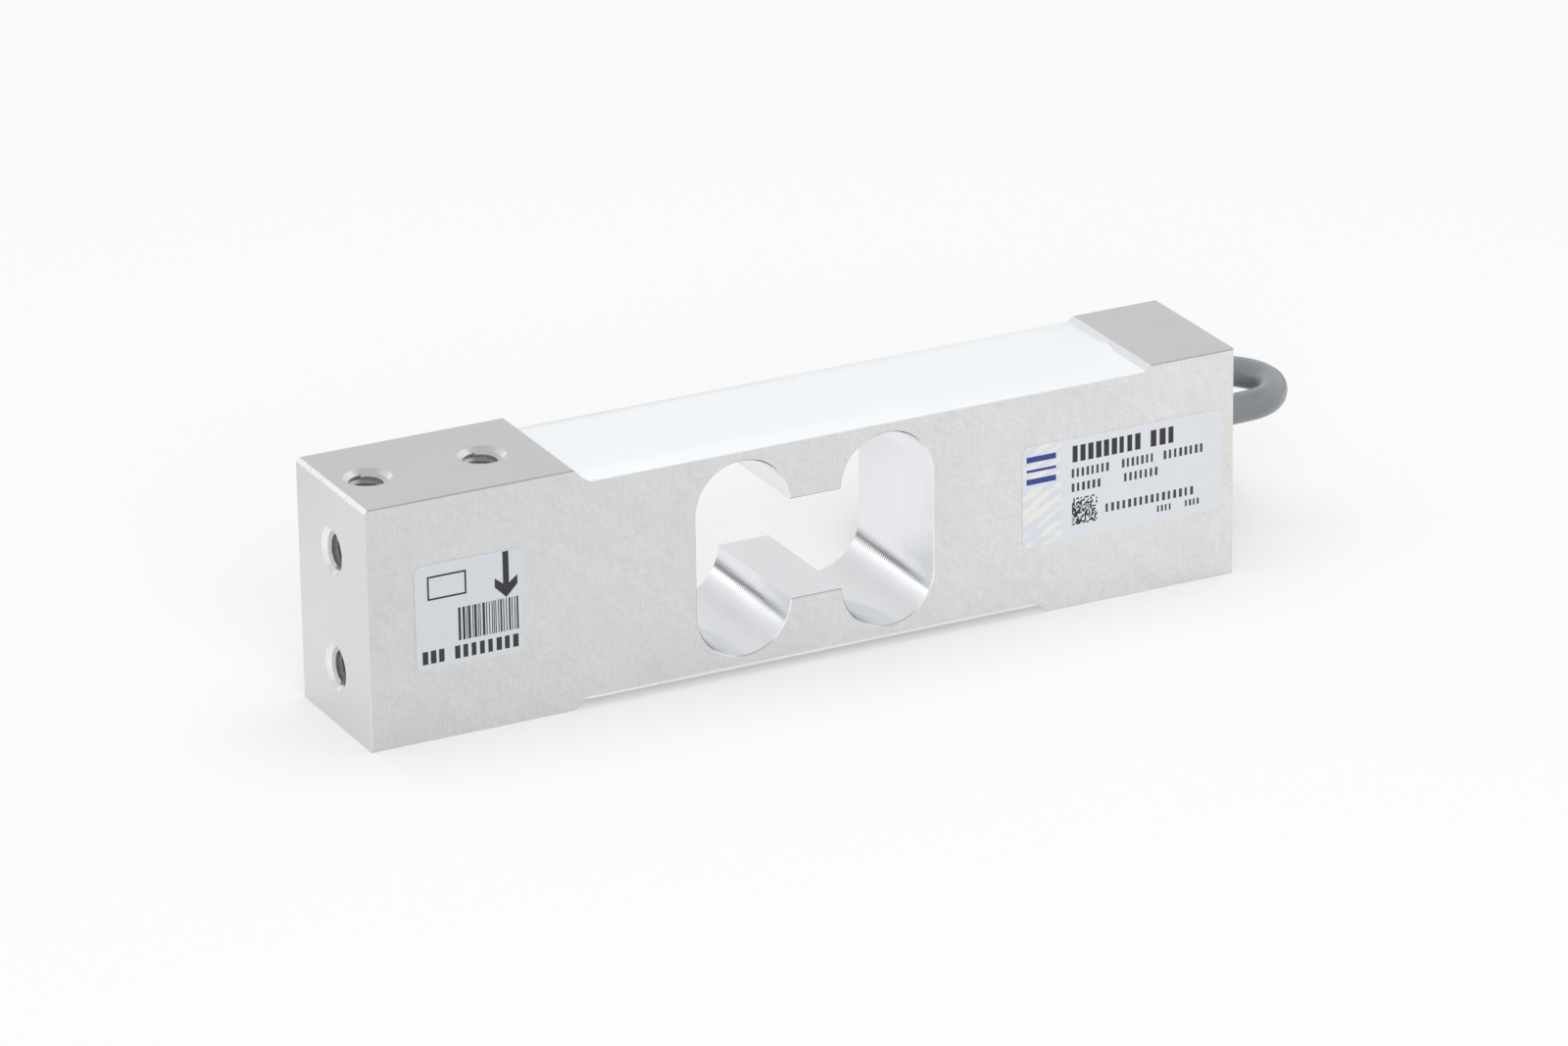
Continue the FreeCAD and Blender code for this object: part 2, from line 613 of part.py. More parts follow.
def potting(x_full, x_foot, x_thin, edge, face_z, up, body, sealed):
    """Potting from ramp to ramp, round everything that it seals."""
    x0, x1 = min(x_full, x_thin), max(x_full, x_thin)
    across = Part.Face(potting_section(edge, POTTING_PLUG)).extrude(V(x1 - x0, 0, 0))
    across.translate(V(x0, 0, 0))
    along = extrude_y(potting_side(x_full, x_foot, x_thin, POTTING_PLUG), FRONT, BACK)
    slab = across.common(along)
    if up < 0:
        slab = slab.mirror(V(0, 0, 0), Z_AXIS)
    slab.translate(V(0, 0, face_z))
    rest = slab.cut([body] + sealed)
    return max(rest.Solids, key=lambda s: s.Volume)


# ---- labels ------------------------------------------------------------------------------
def label(size, x, z):
    """A thin film with rounded corners on the front face."""
    half, rise = size[0] / 2, size[1] / 2
    points = [
        V(x - half, 0, z - rise),
        V(x + half, 0, z - rise),
        V(x + half, 0, z + rise),
        V(x - half, 0, z + rise),
    ]
    outline = rounded_wire(points, [LABEL_CORNER] * 4, closed=True)
    return extrude_y(outline, FRONT - LABEL_FILM, FRONT)


# ---- free cable --------------------------------------------------------------------------
def hank_outline():
    """Two round loops drawn together at the waist where the tie holds them."""
    cx, cy = HANK_PLACE
    reach = HANK_LENGTH / 2 - HANK_LOOP_RADIUS
    loop, waist = HANK_LOOP_RADIUS, HANK_WAIST / 2
    # the waist curve touches both loops: its centre lies on the cross line of the hank
    rise = (reach ** 2 + waist ** 2 - loop ** 2) / (2 * (loop - waist))
    centre = waist + rise
    share = rise / math.hypot(reach, centre)
    touch_x, touch_y = reach * share, centre * (1 - share)
    turn = [
        V(cx + touch_x, cy + touch_y, 0),
        V(cx + HANK_LENGTH / 2, cy, 0),
        V(cx + touch_x, cy - touch_y, 0),
        V(cx, cy - waist, 0),
        V(cx - touch_x, cy - touch_y, 0),
        V(cx - HANK_LENGTH / 2, cy, 0),
        V(cx - touch_x, cy + touch_y, 0),
        V(cx, cy + waist, 0),
    ]
    arcs = [Part.Arc(turn[i], turn[i + 1], turn[(i + 2) % 8]).toShape() for i in (0, 2, 4, 6)]
    return Part.Wire(arcs)


def tie_band(grow):
    cx, cy = HANK_PLACE
    half = HANK_WAIST / 2 + grow
    return block(cx - TIE_WIDTH / 2, cx + TIE_WIDTH / 2, cy - half, cy + half,
                 TIE_THICKNESS - grow, HANK_TOP + grow)


def hank_tie():
    """Nylon cable tie round the waist of the hank, with its head on the back."""
    band = tie_band(TIE_THICKNESS).cut(tie_band(0.0))
    cx, cy = HANK_PLACE
    length, height, depth = TIE_HEAD
    y0 = cy + HANK_WAIST / 2 + TIE_THICKNESS
    z1 = HANK_TOP - TIE_HEAD_DROP
    head = block(cx - length / 2, cx + length / 2, y0, y0 + depth, z1 - height, z1)
    return band.fuse(head).removeSplitter()


def cable_hank():
    """Outer shape of the folded and tied length of cable."""
    solid = Part.Face(hank_outline()).extrude(V(0, 0, HANK_TOP))
    rims = [e for e in solid.Edges if abs(e.BoundBox.ZMin - e.BoundBox.ZMax) < 1e-6]
    return solid.makeChamfer(HANK_EDGE, rims).cut(tie_band(TIE_THICKNESS).cut(tie_band(0.0)))


def cable_run(name, route, hank):
    radii = cord_radii(route)
    solid = tube(route, radii, CABLE_RADIUS)
    length = rounded_wire(route, radii).Length
    share = solid.Volume / (math.pi * CABLE_RADIUS ** 2 * length)
    rounded = [round(r, 1) for r in radii[1:-1]]
    print(f"{name}: length {length:.1f}, volume over section x length {share:.4f}, radii {rounded}")
    return max(solid.cut(hank).Solids, key=lambda s: s.Volume)


def tail_heading():
    return (TAIL_ROUTE[-1] - TAIL_ROUTE[-2]).normalize()


def end_sleeve():
    """Heat-shrink over the jacket's end, where the cores come out."""
    outer = CABLE_RADIUS + SLEEVE_WALL
    return Part.makeCylinder(outer, SLEEVE_LENGTH, TAIL_ROUTE[-1], tail_heading())


def free_wire(row, radius, tip_radius):
    """A wire of the free end, fanned out over the hank and drooping onto it."""
    ahead = tail_heading()
    side = Z_AXIS.cross(ahead)
    lift = END_CORE_STAGGER if row % 2 else -END_CORE_STAGGER
    centre = row - len(CORE_COLOURS) / 2
    start = TAIL_ROUTE[-1] + ahead * (SLEEVE_LENGTH + END_CORE_GAP)
    start += side * (centre * END_CORE_PITCH) + Z_AXIS * lift
    turn = FreeCAD.Rotation(Z_AXIS, centre * END_CORE_FAN)
    fanned = turn.multVec(ahead)
    heading = FreeCAD.Rotation(Z_AXIS.cross(fanned), END_CORE_DROOP).multVec(fanned)
    wire = Part.makeCylinder(radius, END_CORE_LENGTH, start, heading)
    tip_start = start + heading * (END_CORE_LENGTH - END_CORE_BARE)
    tip = Part.makeCylinder(tip_radius, 2 * END_CORE_BARE, tip_start, heading)
    return wire.fuse(tip)


def build():
    body = spring_body()
    parts = {"spring_body": body}
    parts["gauge_top_load"] = strain_gauge(LOBES[0], TOP_FLOOR, 1)
    parts["gauge_top_fixed"] = strain_gauge(LOBES[1], TOP_FLOOR, 1)
    parts["gauge_base_load"] = strain_gauge(LOBES[0], BASE_RECESS, -1)
    parts["gauge_base_fixed"] = strain_gauge(LOBES[1], BASE_RECESS, -1)
    parts["terminal_board"] = terminal_board()
    parts["base_board"] = base_board()
    parts["balance_resistors"] = balance_resistors()
    parts["compensation_foil"] = compensation_foil()
    parts["gauge_leads_top"] = gauge_leads_top()
    parts["gauge_leads_base"] = gauge_leads_base()
    parts["link_wires"] = link_wires()
    for colour, y in zip(CORE_COLOURS, core_rows()):
        parts["core_" + colour] = inner_core(y)
    parts["cable_entry"] = cable_entry()
    parts["cable_seal"] = cable_seal()
    inside = [s for name, s in parts.items() if name not in ("spring_body", "cable_entry", "cable_seal")]
    parts["top_potting"] = potting(
        LOAD_END + LOAD_PAD_LENGTH, FIXED_FOOT, FIXED_END - FIXED_PAD_LENGTH,
        TOP_POTTING_EDGE, TOP_FLOOR, 1, body, inside)
    parts["base_potting"] = potting(
        FIXED_END - BASE_FIXED_PAD_LENGTH, BASE_LOAD_FOOT, LOAD_END + BASE_LOAD_PAD_LENGTH,
        BASE_POTTING_EDGE, BASE_RECESS, -1, body, inside)
    parts["load_label"] = label(LOAD_LABEL_SIZE, LOAD_END + LOAD_LABEL_PLACE[0], LOAD_LABEL_PLACE[1])
    parts["rating_label"] = label(RATING_LABEL_SIZE, FIXED_END - RATING_LABEL_PLACE[0],
                                  RATING_LABEL_PLACE[1])
    hank = cable_hank()
    parts["cable_hank"] = hank
    parts["hank_tie"] = hank_tie()
    parts["cable_lead"] = cable_run("cable_lead", LEAD_ROUTE, hank)
    parts["cable_tail"] = cable_run("cable_tail", TAIL_ROUTE, hank)
    parts["end_sleeve"] = end_sleeve()
    for row, colour in enumerate(CORE_COLOURS):
        parts["end_core_" + colour] = free_wire(row, CORE_RADIUS, BARE_RADIUS)
    parts["end_shield"] = free_wire(len(CORE_COLOURS), SHIELD_RADIUS, BARE_RADIUS)
    return parts


os.makedirs("parts", exist_ok=True)
for name, shape in build().items():
    shape.exportStep(f"parts/{name}.step")
    print(f"{name}: {len(shape.Solids)} solid, volume {shape.Volume:.2f}, valid {shape.isValid()}")
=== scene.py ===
import json
import math
import random
import bpy
import bmesh
from mathutils import Matrix, Vector


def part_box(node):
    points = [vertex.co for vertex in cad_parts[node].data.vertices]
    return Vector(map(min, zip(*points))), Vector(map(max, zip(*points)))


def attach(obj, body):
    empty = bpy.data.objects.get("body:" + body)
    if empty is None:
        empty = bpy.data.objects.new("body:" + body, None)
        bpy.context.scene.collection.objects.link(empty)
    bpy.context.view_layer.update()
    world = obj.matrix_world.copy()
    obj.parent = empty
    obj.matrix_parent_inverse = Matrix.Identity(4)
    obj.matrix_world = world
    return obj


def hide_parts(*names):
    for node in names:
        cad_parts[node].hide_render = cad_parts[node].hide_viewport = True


# Looks of a single point load cell: a milled aluminium bar with a binocular cut-out, white
# potting, two printed film labels and a grey signal cable. Metres, in the frame of the solids:
# X from the load end to the cable end, Y from the label face to the back, Z up.

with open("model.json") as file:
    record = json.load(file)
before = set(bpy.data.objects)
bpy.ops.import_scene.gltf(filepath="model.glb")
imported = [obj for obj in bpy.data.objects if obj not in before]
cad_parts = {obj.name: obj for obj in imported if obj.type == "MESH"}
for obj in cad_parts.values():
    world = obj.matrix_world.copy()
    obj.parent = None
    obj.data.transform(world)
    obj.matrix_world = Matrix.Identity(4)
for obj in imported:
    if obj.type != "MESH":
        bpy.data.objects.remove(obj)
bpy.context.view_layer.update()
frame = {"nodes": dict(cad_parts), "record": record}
nodes = frame["nodes"]
MM = 0.001

bar_lo, bar_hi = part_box("spring_body")
LOAD_END, FIXED_END = bar_lo.x, bar_hi.x
BACK = bar_hi.y
LOAD_TOP = bar_hi.z
FIXED_TOP = 38.1 * MM


# ---- shader building ---------------------------------------------------------------------
class Nodes:
    """Short calls for the shader nodes used here, in the tree of a material or of the world."""

    def __init__(self, tree):
        self.tree = tree

    def put(self, socket, value):
        """Feeds a socket from another node's output, or sets it to a plain value."""
        if isinstance(value, bpy.types.NodeSocket):
            self.tree.links.new(value, socket)
        else:
            socket.default_value = value

    def math(self, operation, a, b=0.0):
        node = self.tree.nodes.new("ShaderNodeMath")
        node.operation = operation
        self.put(node.inputs[0], a)
        self.put(node.inputs[1], b)
        return node.outputs[0]

    def product(self, *factors):
        result = factors[0]
        for factor in factors[1:]:
            result = self.math("MULTIPLY", result, factor)
        return result

    def ramp(self, value, low, high, out_low=0.0, out_high=1.0):
        """A straight ramp between two values, level beyond them."""
        node = self.tree.nodes.new("ShaderNodeMapRange")
        node.clamp = True
        for name, number in zip(("Value", "From Min", "From Max", "To Min", "To Max"),
                                (value, low, high, out_low, out_high)):
            self.put(node.inputs[name], number)
        return node.outputs[0]

    def mix(self, factor, a, b):
        """Number a where the factor is 0, number b where it is 1."""
        node = self.tree.nodes.new("ShaderNodeMix")
        self.put(node.inputs[0], factor)
        self.put(node.inputs[2], a)
        self.put(node.inputs[3], b)
        return node.outputs[0]

    def blend(self, factor, a, b):
        """Colour a where the factor is 0, colour b where it is 1."""
        node = self.tree.nodes.new("ShaderNodeMix")
        node.data_type = "RGBA"
        self.put(node.inputs[0], factor)
        self.put(node.inputs[6], a if isinstance(a, bpy.types.NodeSocket) else (*a, 1))
        self.put(node.inputs[7], b if isinstance(b, bpy.types.NodeSocket) else (*b, 1))
        return node.outputs[2]


class Shader(Nodes):
    """A new material's node tree, mapped by object coordinates."""

    def __init__(self, name):
        self.material = bpy.data.materials.new(name)
        self.material.use_nodes = True
        super().__init__(self.material.node_tree)
        self.bsdf = self.tree.nodes["Principled BSDF"]
        self.coord = self.tree.nodes.new("ShaderNodeTexCoord").outputs["Object"]

    def set(self, **values):
        """Sets inputs of the surface; an underscore in a name stands for a space."""
        for name, value in values.items():
            self.put(self.bsdf.inputs[name.replace("_", " ")], value)

    def axes(self):
        node = self.tree.nodes.new("ShaderNodeSeparateXYZ")
        self.tree.links.new(self.coord, node.inputs[0])
        return node.outputs

    def mapped(self, scale, turn=(0, 0, 0)):
        node = self.tree.nodes.new("ShaderNodeMapping")
        self.tree.links.new(self.coord, node.inputs["Vector"])
        node.inputs["Rotation"].default_value = turn
        node.inputs["Scale"].default_value = scale
        return node.outputs[0]

    def grain(self, across, along, turn):
        """Coordinates for strokes turned so many degrees from upright in the side face."""
        node = self.tree.nodes.new("ShaderNodeMapping")
        node.vector_type = "TEXTURE"
        self.tree.links.new(self.coord, node.inputs["Vector"])
        node.inputs["Rotation"].default_value = (0, math.radians(turn), 0)
        node.inputs["Scale"].default_value = (1 / across, 1 / across, 1 / along)
        return node.outputs[0]

    def noise(self, vector, scale=1.0, detail=2.0, roughness=0.5):
        node = self.tree.nodes.new("ShaderNodeTexNoise")
        self.put(node.inputs["Vector"], vector)
        node.inputs["Scale"].default_value = scale
        node.inputs["Detail"].default_value = detail
        node.inputs["Roughness"].default_value = roughness
        return node.outputs["Fac"]

    def scaled(self, color, factor):
        node = self.tree.nodes.new("ShaderNodeVectorMath")
        node.operation = "SCALE"
        self.put(node.inputs[0], color)
        self.put(node.inputs["Scale"], factor)
        return node.outputs[0]

    def bump(self, height, distance, strength=1.0, before=None):
        node = self.tree.nodes.new("ShaderNodeBump")
        node.inputs["Strength"].default_value = strength
        node.inputs["Distance"].default_value = distance
        self.put(node.inputs["Height"], height)
        if before is not None:
            self.put(node.inputs["Normal"], before)
        return node.outputs[0]


# ---- materials ---------------------------------------------------------------------------
LOAD_HOLES = (LOAD_END + 6.35 * MM, LOAD_END + 25.4 * MM)    # along the bar, in the load pad
END_HOLES = (9.525 * MM, 28.575 * MM)       # up the face of the load end
SINK_REACH = 3.82 * MM                      # just beyond a countersink's rim
HOLES_END = LOAD_END + 33 * MM              # no countersink is tinted beyond this
ON_FACE = 0.02 * MM                         # a point this near a face lies on it
BELOW_FACE = 0.01 * MM
CUT_OUT_MIDDLE, CUT_OUT_HALF = 0.75 * MM, 20.7 * MM
CUT_OUT_LOW, CUT_OUT_HIGH = 2.6 * MM, 36.2 * MM
EDGE_BREAK = 0.58 * MM                      # size of the bevel on the load end's top edge
RAMP_START, RAMP_END = FIXED_END - 19 * MM, FIXED_END - 14.99 * MM
RAMP_DROP = 1.2 * MM                        # height of the fixed pad's ramp
FEED = 0.64 * MM                            # between two feed marks of the end mill

# per metre across a stroke, per metre along it, degrees from upright, strength
STROKES = ((2900, 230, 4, 0.3), (2900, 210, 87, 0.28), (2600, 150, 36, 0.2), (2400, 140, -50, 0.26),
           (1500, 110, -24, 0.18))

SIDE_LOAD_PAINTED_SHADE = (0.675, 0.675, 0.68)       # side faces by the load end: painted shade, darker than by the cable end
SIDE_FIXED_PAINTED_LIGHT = (0.785, 0.785, 0.783)     # side faces by the cable end: painted light, lighter than by the load end
PAD_TINT = (0.725, 0.725, 0.73)
WALL_TINT = (0.91, 0.925, 0.95)
SINK_TINT = (0.89, 0.895, 0.91)
# painted highlight: near-white colour for the bevel on the load end's top edge
EDGE_PAINTED_HIGHLIGHT = (0.99, 0.99, 0.99)
RAMP_TINT = (0.86, 0.87, 0.89)

STROKE_TONE, STROKE_ROUGHNESS, STROKE_RELIEF = 0.6, 0.3, 0.03 * MM
RIPPLE_TONE, RIPPLE_RELIEF = 0.06, 0.011 * MM
ROUGHNESS, SIDE_ROUGHER, WALL_SMOOTHER = 0.30, 0.14, 0.155
EDGE_MATT, RAMP_MATT = 0.8, 0.6             # how far these two read as matt, not as metal; on the edge, with its near-white colour, this paints a highlight


def cross_hatch(s):
    """Fine short strokes in several directions, as loose parts leave on each other in a tumbler."""
    total = 0.0
    for across, along, turn, strength in STROKES:
        layer = s.noise(s.grain(across, along, turn), 1.0, 2.0, 0.65)
        total = s.math("ADD", total, s.product(s.math("SUBTRACT", layer, 0.5), strength))
    patchy = s.ramp(s.noise(s.coord, 160.0, 2.0), 0.35, 0.65, 0.75, 1.25)
    return s.product(total, patchy)


def between(s, value, low, high):
    """1 where a value lies between two limits, 0 elsewhere."""
    return s.product(s.math("GREATER_THAN", value, low), s.math("LESS_THAN", value, high))


def near_axis(s, along, across, centre):
    """1 within a countersink's reach of its axis, 0 elsewhere; all the axes lie at Y = 0."""
    off = s.math("SUBTRACT", along, centre)
    square = s.math("ADD", s.product(off, off), s.product(across, across))
    return s.math("LESS_THAN", square, SINK_REACH * SINK_REACH)


def countersinks(s, x, y, z):
    """1 inside the four holes of the load end, 0 elsewhere."""
    sinks = 0.0
    below = s.math("LESS_THAN", z, LOAD_TOP - BELOW_FACE)
    beyond = s.math("GREATER_THAN", x, LOAD_END + BELOW_FACE)
    for centre in LOAD_HOLES:
        sinks = s.math("MAXIMUM", sinks, s.product(near_axis(s, x, y, centre), below))
    for centre in END_HOLES:
        sinks = s.math("MAXIMUM", sinks, s.product(near_axis(s, z, y, centre), beyond))
    return s.product(sinks, s.math("LESS_THAN", x, HOLES_END))


def broken_edge(s, x, z):
    """1 on the bevel along the load end's top edge, whose width wavers a little."""
    inwards = s.math("ADD", s.math("SUBTRACT", x, LOAD_END), s.math("SUBTRACT", LOAD_TOP, z))
    wobble = s.noise(s.mapped((1, 2600, 1)), 1.0, 1.0)
    return s.math("LESS_THAN", inwards, s.ramp(wobble, 0.3, 0.7, EDGE_BREAK * 0.93, EDGE_BREAK * 1.12))


def milled_aluminium():
    """Tumbled side faces with painted light and shade along them, evenly milled pads, bright countersinks,
    a painted highlight on the load end's top bevel and cutter marks in the cut-out.
    """
    s = Shader("milled_aluminium")
    x, y, z = s.axes()
    side = s.math("GREATER_THAN", s.math("ABSOLUTE", y), BACK - ON_FACE)
    not_side = s.math("SUBTRACT", 1.0, side)
    inside = s.math("LESS_THAN", s.math("ABSOLUTE", s.math("SUBTRACT", x, CUT_OUT_MIDDLE)), CUT_OUT_HALF)
    walls = s.product(inside, between(s, z, CUT_OUT_LOW, CUT_OUT_HIGH), not_side)
    top_ramp = s.product(between(s, z, FIXED_TOP - RAMP_DROP, FIXED_TOP - ON_FACE),
                         between(s, x, RAMP_START, RAMP_END), not_side)
    edge = broken_edge(s, x, z)
    marks = s.product(cross_hatch(s), side)
    cloud = s.noise(s.coord, 55.0, 3.0, 0.55)

    # feed marks of the end mill: even ripples across the curved walls, uneven in depth
    depth = s.ramp(s.noise(s.mapped((150, 60, 150)), 1.0, 1.0), 0.35, 0.65, 0.3, 1.0)
    ripple = s.product(s.math("SINE", s.product(y, 2 * math.pi / FEED)), depth, walls)

    # painted light and shade: the side faces' colour ramps from darker by the load end to lighter by the
    # cable end
    side_painted_light_ramp = s.blend(s.ramp(x, LOAD_END, FIXED_END), SIDE_LOAD_PAINTED_SHADE, SIDE_FIXED_PAINTED_LIGHT)
    base = s.blend(side, s.blend(walls, PAD_TINT, WALL_TINT), side_painted_light_ramp)
    base = s.blend(countersinks(s, x, y, z), base, SINK_TINT)
    # painted highlight: the top edge's bevel is painted near white and mostly matt, so it reads as a bright
    # line
    base = s.blend(edge, base, EDGE_PAINTED_HIGHLIGHT)
    base = s.blend(top_ramp, base, RAMP_TINT)
    tone = s.math("ADD", s.product(marks, STROKE_TONE), s.ramp(cloud, 0.3, 0.7, -0.02, 0.02))
    tone = s.math("SUBTRACT", tone, s.product(ripple, RIPPLE_TONE))
    rough = s.math("ADD", s.product(side, SIDE_ROUGHER), ROUGHNESS)
    rough = s.math("SUBTRACT", rough, s.product(walls, WALL_SMOOTHER))
    rough = s.math("ADD", rough, s.product(marks, STROKE_ROUGHNESS))
    relief = s.bump(ripple, RIPPLE_RELIEF, 1.0, s.bump(marks, STROKE_RELIEF, 0.35))
    matt = s.math("MAXIMUM", s.product(edge, EDGE_MATT), s.product(top_ramp, RAMP_MATT))
    s.set(Base_Color=s.scaled(base, s.math("ADD", tone, 1.0)), Roughness=rough, Normal=relief,
          Metallic=s.math("SUBTRACT", 1.0, matt))
    return s.material


def bright_thread():
    """Freshly cut thread flanks."""
    s = Shader("cut_thread")
    marks = s.noise(s.mapped((700, 700, 700)), 1.0, 2.0)
    s.set(Base_Color=(0.62, 0.62, 0.64, 1), Metallic=0.6, Roughness=s.ramp(marks, 0.3, 0.7, 0.24, 0.3))
    return s.material


def potting_silicone():
    """White cast silicone with a faint swell in its skin."""
    s = Shader("potting_silicone")
    cloud = s.noise(s.coord, 60.0, 2.0)
    swell = s.noise(s.coord, 140.0, 1.0)
    white = s.blend(s.ramp(cloud, 0.3, 0.7), (0.90, 0.935, 0.955), (0.92, 0.95, 0.965))
    s.set(Base_Color=white, Roughness=s.ramp(cloud, 0.3, 0.7, 0.28, 0.36),
          Normal=s.bump(swell, 0.12 * MM, 0.35))
    return s.material


def load_film():
    """Plain pale film."""
    s = Shader("load_label_film")
    grain = s.noise(s.coord, 900.0, 2.0)
    pale = s.blend(s.ramp(grain, 0.3, 0.7), (0.71, 0.755, 0.785), (0.73, 0.775, 0.805))
    s.set(Base_Color=pale, Roughness=s.ramp(grain, 0.3, 0.7, 0.38, 0.48))
    return s.material


STRIP_EDGE = FIXED_END - 31.15 * MM         # the pearly strip lies before this
BAND_PITCH = 2.1 * MM


def rating_film():
    """Pale film with a strip of slanting pearly bands at its inner end."""
    s = Shader("rating_label_film")
    x, _, z = s.axes()
    grain = s.noise(s.coord, 900.0, 2.0)
    plain_film = s.blend(s.ramp(grain, 0.3, 0.7), (0.825, 0.85, 0.895), (0.845, 0.87, 0.91))
    slant = s.math("ADD", s.math("MULTIPLY", x, 0.6), s.math("MULTIPLY", z, -1.0))
    band = s.math("SINE", s.math("MULTIPLY", slant, 2 * math.pi / BAND_PITCH))
    patch = s.noise(s.mapped((230, 230, 420), turn=(0, 0.55, 0)), 1.0, 2.0)
    pearl = s.ramp(s.math("ADD", s.math("MULTIPLY", band, 0.35), s.ramp(patch, 0.35, 0.65)), 0.2, 0.9)
    bands = s.blend(pearl, (0.79, 0.84, 0.91), (0.95, 0.94, 0.89))
    strip = s.math("LESS_THAN", x, STRIP_EDGE)
    s.set(Base_Color=s.blend(strip, plain_film, bands), Roughness=s.ramp(grain, 0.3, 0.7, 0.36, 0.46))
    return s.material


def ink(name, colour):
    s = Shader(name)
    grain = s.noise(s.coord, 2500.0, 1.0)
    s.set(Base_Color=s.blend(s.ramp(grain, 0.3, 0.7), darker(colour), colour), Roughness=0.5)
    return s.material


def darker(colour):
    return tuple(part * 0.85 for part in colour)


def jacket():
    """Extruded grey cable jacket with a soft sheen and faint handling marks."""
    s = Shader("cable_jacket")
    cloud = s.noise(s.coord, 90.0, 3.0)
    fine = s.noise(s.coord, 1200.0, 2.0)
    grey = s.blend(s.ramp(cloud, 0.3, 0.7), (0.18, 0.205, 0.225), (0.225, 0.25, 0.27))
    s.set(Base_Color=grey, Roughness=s.ramp(cloud, 0.3, 0.7, 0.26, 0.38),
          Normal=s.bump(fine, 0.02 * MM, 0.3), Specular_IOR_Level=0.9, Coat_Weight=0.4,
          Coat_Roughness=0.22)
    return s.material


def speckled(name, low, high, roughness, scale=400.0, metallic=0.0):
    """A finish that wavers between two colours in fine specks."""
    s = Shader(name)
    grain = s.noise(s.coord, scale, 2.0)
    s.set(Base_Color=s.blend(s.ramp(grain, 0.3, 0.7), low, high), Metallic=metallic,
          Roughness=s.ramp(grain, 0.3, 0.7, roughness - 0.05, roughness + 0.05))
    return s.material


aluminium = milled_aluminium()
thread_metal = bright_thread()
potting = potting_silicone()
cable_jacket = jacket()
black_ink = ink("print_black", (0.028, 0.028, 0.032))
grey_ink = ink("print_grey", (0.06, 0.06, 0.068))
blue_ink = ink("print_blue", (0.035, 0.07, 0.33))


# ---- small helpers -----------------------------------------------------------------------
def link(name, data):
    piece = bpy.data.objects.new(name, data)
    bpy.context.scene.collection.objects.link(piece)
    return piece


def mesh_piece(name, bm, material, smooth_angle=None):
    """Makes a finished piece of a bmesh, riding on the one body of the part."""
    mesh = bpy.data.meshes.new(name)
    bm.to_mesh(mesh)
    bm.free()
    if "custom_normal" in mesh.attributes:
        mesh.attributes.remove(mesh.attributes["custom_normal"])
    if smooth_angle is not None:
        mesh.shade_smooth()
        mesh.set_sharp_from_angle(angle=math.radians(smooth_angle))
    piece = link(name, mesh)
    mesh.materials.append(material)
    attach(piece, "root")
    return piece


def round_curve(name, radius, smoothness, sides, covers):
    """An empty curve of round section, with its materials."""
    curve = bpy.data.curves.new(name, "CURVE")
    curve.dimensions = "3D"
    curve.resolution_u = smoothness
    curve.bevel_depth = radius
    curve.bevel_resolution = sides
    curve.use_fill_caps = True
    for cover in covers:
        curve.materials.append(cover)
    return curve


def soft_spline(curve, points, thickness=1.0, material_index=0):
    """Adds a smooth run through a curve, near the points; thickness is a share of the curve's."""
    spline = curve.splines.new("NURBS")
    spline.points.add(len(points) - 1)
    for point, place in zip(spline.points, points):
        point.co = (*place, 1)
        point.radius = thickness
    spline.order_u = 3
    spline.use_endpoint_u = True
    spline.material_index = material_index


def node_bmesh(node):
    """A copy of a solid's mesh with its loose triangles joined up."""
    bm = bmesh.new()
    bm.from_mesh(nodes[node].data)
    bmesh.ops.remove_doubles(bm, verts=bm.verts, dist=1e-6)
    return bm


def dress(node, material):
    """Gives a solid that stays as it is its finish."""
    slots = nodes[node].data.materials
    slots.clear()
    slots.append(material)


# ---- camera ------------------------------------------------------------------------------
CAMERA_PLACE = Vector((-0.5235, -1.0444, 0.4861))
CAMERA_AIM = Vector((0.0065, 0.0096, 0.0140))
CAMERA_ROLL = math.radians(-0.81)    # about the line of sight
CAMERA_LENS = 185.65


def place_camera():
    data = bpy.data.cameras.new("camera")
    data.lens = CAMERA_LENS
    data.sensor_width = 36.0
    data.sensor_fit = "HORIZONTAL"
    data.clip_start = 0.05
    data.clip_end = 50.0
    camera = link("camera", data)
    camera.location = CAMERA_PLACE
    facing = (CAMERA_AIM - CAMERA_PLACE).to_track_quat("-Z", "Y")
    camera.rotation_mode = "QUATERNION"
    camera.rotation_quaternion = facing @ Matrix.Rotation(CAMERA_ROLL, 3, "Z").to_quaternion()
    bpy.context.scene.camera = camera


place_camera()

# ---- signal cable ------------------------------------------------------------------------
CABLE = 5.0 * MM             # diameter; the places below are in mm
HANK_X, HANK_Y = 61.6, 27.2  # middle of the hank
LOOP_OFFSET = 17.5           # from there to the middle of an end loop
LOOP_RADIUS = 10.25
WAIST = 2.75                 # half the distance between the two runs under the tie
SHOULDER = (9.0, 6.1)        # where the runs draw together, from the middle of the hank
FLOOR_GAP = 2.55             # middle of the lowest turn
LAYER = 5.02
TIED_GAP = 3.5               # the same where the turns lie over the tie
TIED_LAYER = 4.62
TURNS = 3
LEAD = [(76.2, 0.0, 22.3), (81.4, 0.0, 22.3), (89.6, 0.4, 22.3), (94.6, 8.8, 22.3),
        (89.6, 17.1, 22.3), (80.2, 16.9, 21.7), (70.5, 16.0, 18.3), (61.6, 16.2, 9.6),
        (54.0, 16.6, 3.4)]
TAIL = [(85.6, 19.4, 13.5), (80.3, 18.5, 15.5), (75.3, 21.9, 17.7), (70.3, 25.2, 18.1)]


